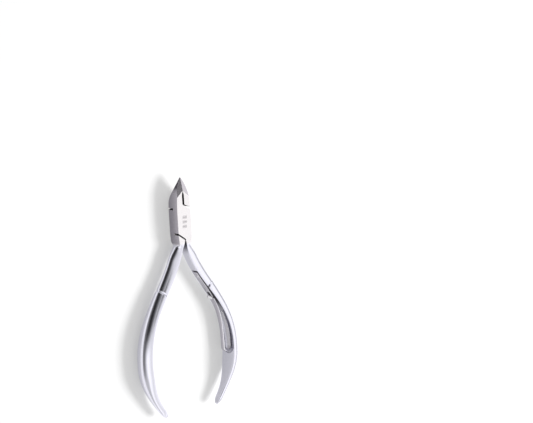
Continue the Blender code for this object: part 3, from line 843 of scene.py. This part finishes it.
def tallyMask(s, x, y, z):
    # Leaning strokes side by side with one bar across them, in groups one above another, on the
    # front face only
    t = tally
    up = y - t["low"]
    across = x - t["left"] + up * t["lean"]
    wide, tall = t["strokes"] * t["strokePitch"], t["groups"] * t["groupPitch"]
    inGroup = (up / t["groupPitch"]).maths("FRACT") * t["groupPitch"]
    inStroke = ((across + inGroup * t["zigzag"]) / t["strokePitch"]).maths("FRACT")
    stroke = s.between((inStroke - 0.5).maths("ABSOLUTE"), 0.30, 0.16)
    bar = s.between((inGroup - 0.5 * t["groupHeight"]).maths("ABSOLUTE"), 0.18, 0.08)
    inside = (s.between(inGroup, 0.0, 0.08)
              * s.between(inGroup, t["groupHeight"], t["groupHeight"] - 0.08)
              * s.between(across, 0.0, 0.06) * s.between(across, wide, wide - 0.06)
              * s.between(up, 0.0, 0.05) * s.between(up, tall, tall - 0.05))
    onFront = s.between(z, headThickness - 0.05, headThickness - 0.02)
    return stroke.maths("MAXIMUM", bar) * inside * onFront


def leverSteel(name):
    # Satin polished handles that turn into a flat ground joint block, with painted shade on its sides
    # and jaw facets, and painted near-black shade in its gaps, crotch and the trough under the spring
    made = bpy.data.materials.new(name)
    s = Shader(made)
    # each mask is a product of smooth steps on a facing, which is a cosine, or on a place
    x, y, z = s.objectPlace()
    fromCentre = x.maths("ABSOLUTE")
    sideFacing, endFacing, upFacing = s.facing()
    sideFacing, endFacing = sideFacing.maths("ABSOLUTE"), endFacing.maths("ABSOLUTE")
    onHead = s.between(y, *zones["headY"])
    # painted shade on the head's sides
    onSide = s.between(sideFacing, 0.55, 0.85) * onHead
    # painted shade: the shoulder gaps, the slit, the crotch and the seat under the spring are painted
    # near black
    inGap = (s.between(endFacing, 0.55, 0.8) * s.between(y, *zones["shoulderLowY"])
             * s.between(y, *zones["shoulderHighY"]))
    inSlit = (s.between(sideFacing, 0.7, 0.9) * s.between(fromCentre, *zones["slitX"])
              * s.between(y, *zones["slitY"]))
    inCrotch = (s.between(sideFacing, 0.6, 0.8) * s.between(fromCentre, *zones["crotchX"])
                * s.between(y, *zones["crotchY"]))
    # painted shadow of the strap and the bow in the trough
    seatPaintedShade = s.attribute("seat")
    dark = inGap.maths("MAXIMUM", inSlit)
    dark = dark.maths("MAXIMUM", inCrotch * 0.9).maths("MAXIMUM", seatPaintedShade * 0.95)
    cloud = s.stretchedNoise((1, 1, 1), 160.0, 3.0)
    brush = s.stretchedNoise((1, 0.05, 1), 4200.0, 2.0)
    grind = s.stretchedNoise((0.04, 1, 0.3), 5200.0, 2.0)
    lines = onHead * grind + (1.0 - onHead) * brush
    colour = s.mixColour(onHead, steel["satinColour"], steel["groundColour"])
    sidePaintedShade = s.mixColour(s.between(z, *zones["sideZ"]), steel["sideLow"], steel["sideHigh"])
    # painted shade on the jaw facets
    onFacet = (s.between(upFacing, 0.9, 0.94) * s.between(upFacing, 0.992, 0.985)
               * s.between(y, *zones["jawY"]))
    colour = s.mixColour(onFacet, colour, steel["facetColour"])
    # painted shade mixed onto the sides
    colour = s.mixColour(onSide, colour, sidePaintedShade)
    colour = s.mixColour(s.between(cloud, 0.35, 0.7, 0.0, 0.05), colour, (0.5, 0.5, 0.56))
    colour = s.mixColour(tallyMask(s, x, y, z) * 0.85, colour, tally["colour"])
    # painted shade, near black, in the gaps, slit, crotch and seat
    colour = s.mixColour(dark, colour, steel["gapColour"])
    rough = (onHead * (steel["groundRoughness"] - steel["satinRoughness"]) + dark * 0.25
             + steel["satinRoughness"] + (cloud - 0.5) * 0.04 + (lines - 0.5) * 0.05)
    bump = s.node("Bump", Strength=0.04, Distance=0.00003, Height=lines)
    shader = s.node("BsdfPrincipled", Base_Color=colour, Metallic=1.0, Roughness=rough,
                    Normal=s.out(bump))
    s.node("OutputMaterial", Surface=s.out(shader))
    return made


def plainSteel(name, colour, roughness, stretch, rubbed=None):
    # Rolled or turned steel, with a painted highlight on its faces that look along Z. A leaf also gets
    # a painted highlight where its attribute "along" is in a range: (low, high, share).
    made = bpy.data.materials.new(name)
    s = Shader(made)
    cloud = s.stretchedNoise((1, 1, 1), 300.0, 3.0)
    lines = s.stretchedNoise(stretch, 6000.0, 2.0)
    tint = s.mixColour(s.between(cloud, 0.3, 0.7, 0.0, 0.15), colour, tuple(0.7 * c for c in colour))
    # painted highlight on faces that look along Z, the leaves' edges and the pins' ends
    zFacingHighlight = s.between(s.facing()[2].maths("ABSOLUTE"), 0.5, 0.85) * 0.8
    tint = s.mixColour(zFacingHighlight, tint, steel["rubbedColour"])
    if rubbed:
        along = s.attribute("along")
        # painted highlight along the listed spans of a leaf
        for low, high, share in rubbed:
            highlighted = s.between(along, low - 0.4, low) * s.between(along, high + 0.4, high) * share
            tint = s.mixColour(highlighted, tint, steel["rubbedColour"])
    rough = (cloud - 0.5) * 0.1 + (lines - 0.5) * 0.1 + roughness
    bump = s.node("Bump", Strength=0.10, Distance=0.00004, Height=lines)
    shader = s.node("BsdfPrincipled", Base_Color=tint, Metallic=1.0, Roughness=rough,
                    Normal=s.out(bump))
    s.node("OutputMaterial", Surface=s.out(shader))
    return made


leverMaterial = leverSteel("satinLeverSteel")
bowCurl = math.radians(spring["curlTurn"]) * spring["curlRadius"]
returnArmStart = bowCurl + 32.0
wholeLeaf = 99.0               # past the end of any leaf
# painted highlight on the curls of the strap and the bow, and a weaker one on the bow's return arm
strapMaterial = plainSteel("rolledStrapSteel", steel["springColour"], steel["leafRoughness"],
                           (1, 0.06, 1), [(spring["strapLength"], wholeLeaf, 0.8)])
springMaterial = plainSteel("rolledSpringSteel", steel["springColour"], steel["leafRoughness"],
                            (1, 0.06, 1), [(-1.0, bowCurl, 1.0), (returnArmStart, wholeLeaf, 0.45)])
pinMaterial = plainSteel("turnedPinSteel", steel["pinColour"], steel["leafRoughness"], (1, 1, 0.1))


def finished(piece, material, body, slot, *replaced):
    # Gives a piece its material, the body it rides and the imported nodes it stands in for
    piece.data.materials.clear()
    piece.data.materials.append(material)
    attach(piece, body)
    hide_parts(*replaced)


finished(rightLever, leverMaterial, "front_lever", "forged_steel", "front_lever")
finished(leftLever, leverMaterial, "rear_lever", "forged_steel", "rear_lever")
finished(pivotPin, pinMaterial, "front_lever", "pin_steel", "pivot_pin")
finished(strapRivet, pinMaterial, "front_lever", "pin_steel", "strap_rivet")
finished(knucklePin, pinMaterial, "front_lever", "pin_steel", "knuckle_pin")
finished(strap, strapMaterial, "front_lever", "spring_steel", "spring_strap")
finished(bow, springMaterial, "bow_spring", "spring_steel", "bow_spring")
print("materials made")


# Pale sheet, soft sky and one soft key. A sky is a list of (lean, brightness): lean is 0
# overhead, 90 at the left horizon and -90 at the right.
studio = {
    "floorColour": (0.45, 0.45, 0.45),
    "floorHalf": 3.0,
    "floorDrop": 0.00002,      # below the lowest point of the object
    "floorGlow": 0.36,         # the sheet is lit a little from behind
    "tipSky": [
        (-100, 0.08), (-88, 0.10), (-76, 0.34), (-66, 1.2), (-50, 1.28), (-38, 1.12),
        (-27, 0.95), (-15, 0.66), (0, 0.32), (10, 0.16), (24, 0.03), (48, 0.02),
        (62, 0.10), (90, 0.30), (110, 0.42),
    ],
    "tailSky": [
        (-100, 0.45), (-88, 0.5), (-76, 0.8), (-66, 1.25), (-50, 1.28), (-38, 1.1),
        (-18, 0.90), (0, 1.15), (12, 1.30), (30, 1.25), (42, 0.9), (60, 0.26),
        (75, 0.20), (90, 0.34), (110, 0.46),
    ],
    "tipSkyY": (-0.15, 0.32),  # Y of a direction over which one sky turns into the other
    "hazeY": (-0.15, -0.65),   # haze low behind the tails
    "hazeLean": (20.0, 50.0),
    "haze": 0.62,
    "shadeY": ((0.04, 0.12), (0.38, 0.28)),         # dark card beyond the jaw tips
    "shadeLean": ((-42.0, -33.0), (-6.0, -15.0)),
    "shade": 0.92,
    "keyPlace": (0.69, -0.22, 0.56),
    "keyAim": (0.0, -0.03, 0.0),
    "keySize": 0.40,
    "keyPower": 12.5,
}

floorMesh = bpy.data.meshes.new("floor")
half, floorHeight = studio["floorHalf"], cadBox[0].z - studio["floorDrop"]
floorMesh.from_pydata([(-half, -half, floorHeight), (half, -half, floorHeight),
                       (half, half, floorHeight), (-half, half, floorHeight)], [], [(0, 1, 2, 3)])
floor = newObject("floor", floorMesh)
paper = bpy.data.materials.new("paleFloor")
s = Shader(paper)
shader = s.node("BsdfPrincipled", Base_Color=(*studio["floorColour"], 1.0), Roughness=0.9,
                Emission_Color=(1.0, 1.0, 1.0, 1.0), Emission_Strength=studio["floorGlow"])
s.node("OutputMaterial", Surface=s.out(shader))
floorMesh.materials.append(paper)


def skyRamp(s, lean, stops):
    # Brightness by lean, straight lines between the stops of (lean, brightness)
    low, high = stops[0][0], stops[-1][0]
    brightest = max(value for _, value in stops)
    ramp = s.node("ValToRGB", {"stops": [((at - low) / (high - low), (value / brightest,) * 3)
                                         for at, value in stops]}, Fac=(lean - low) / (high - low))
    return s.out(ramp) * brightest


world = bpy.data.worlds.new("softStudio")
bpy.context.scene.world = world
s = Shader(world)
place = s.node("TexCoord")
parts = s.node("SeparateXYZ", Vector=s.out(place, "Generated"))
dx, dy, dz = (s.out(parts, axis) for axis in "XYZ")
lean = (-dx).maths("ARCTAN2", dz) * (180 / math.pi)  # 0 overhead, 90 at the left horizon
tipSky, tailSky = skyRamp(s, lean, studio["tipSky"]), skyRamp(s, lean, studio["tailSky"])
towardTip = s.between(dy, *studio["tipSkyY"])
sky = towardTip * tipSky + (1.0 - towardTip) * tailSky
haze = s.between(dy, *studio["hazeY"]) * s.between(lean, *studio["hazeLean"])
sky = sky + haze * (studio["haze"] - sky)
shade = s.between(dy, *studio["shadeY"][0]) * s.between(dy, *studio["shadeY"][1])
shade = shade * s.between(lean, *studio["shadeLean"][0]) * s.between(lean, *studio["shadeLean"][1])
sky = sky * (1.0 - shade * studio["shade"])
background = s.node("Background", Color=(1.0, 1.0, 1.0, 1.0), Strength=sky)
s.node("OutputWorld", Surface=s.out(background))

keyLight = bpy.data.lights.new("key", "AREA")
keyLight.shape, keyLight.size, keyLight.energy = "DISK", studio["keySize"], studio["keyPower"]
key = newObject("key", keyLight)
key.visible_glossy = False
awayFrom = Vector(studio["keyPlace"]) - Vector(studio["keyAim"])
key.matrix_world = (Matrix.Translation(studio["keyPlace"])
                    @ awayFrom.to_track_quat("Z", "Y").to_matrix().to_4x4())

# Camera: its place, and the directions of the picture's right and up
view = {
    "place": (-0.60087, 0.16318, 0.74562),
    "right": (0.74424, -0.05416, 0.66572),
    "up": (0.15121, 0.98449, -0.08895),
    "lens": 147.34,
}
lens = bpy.data.cameras.new("camera")
lens.lens, lens.sensor_width = view["lens"], 36.0
camera = newObject("camera", lens)
right, up = unit(np.array(view["right"])), unit(np.array(view["up"]))
turn = Matrix(np.stack([right, up, np.cross(right, up)], 1).tolist()).to_4x4()
camera.matrix_world = Matrix.Translation(view["place"]) @ turn
bpy.context.scene.camera = camera
bpy.context.scene.view_settings.view_transform = "Standard"

print("scene ready")
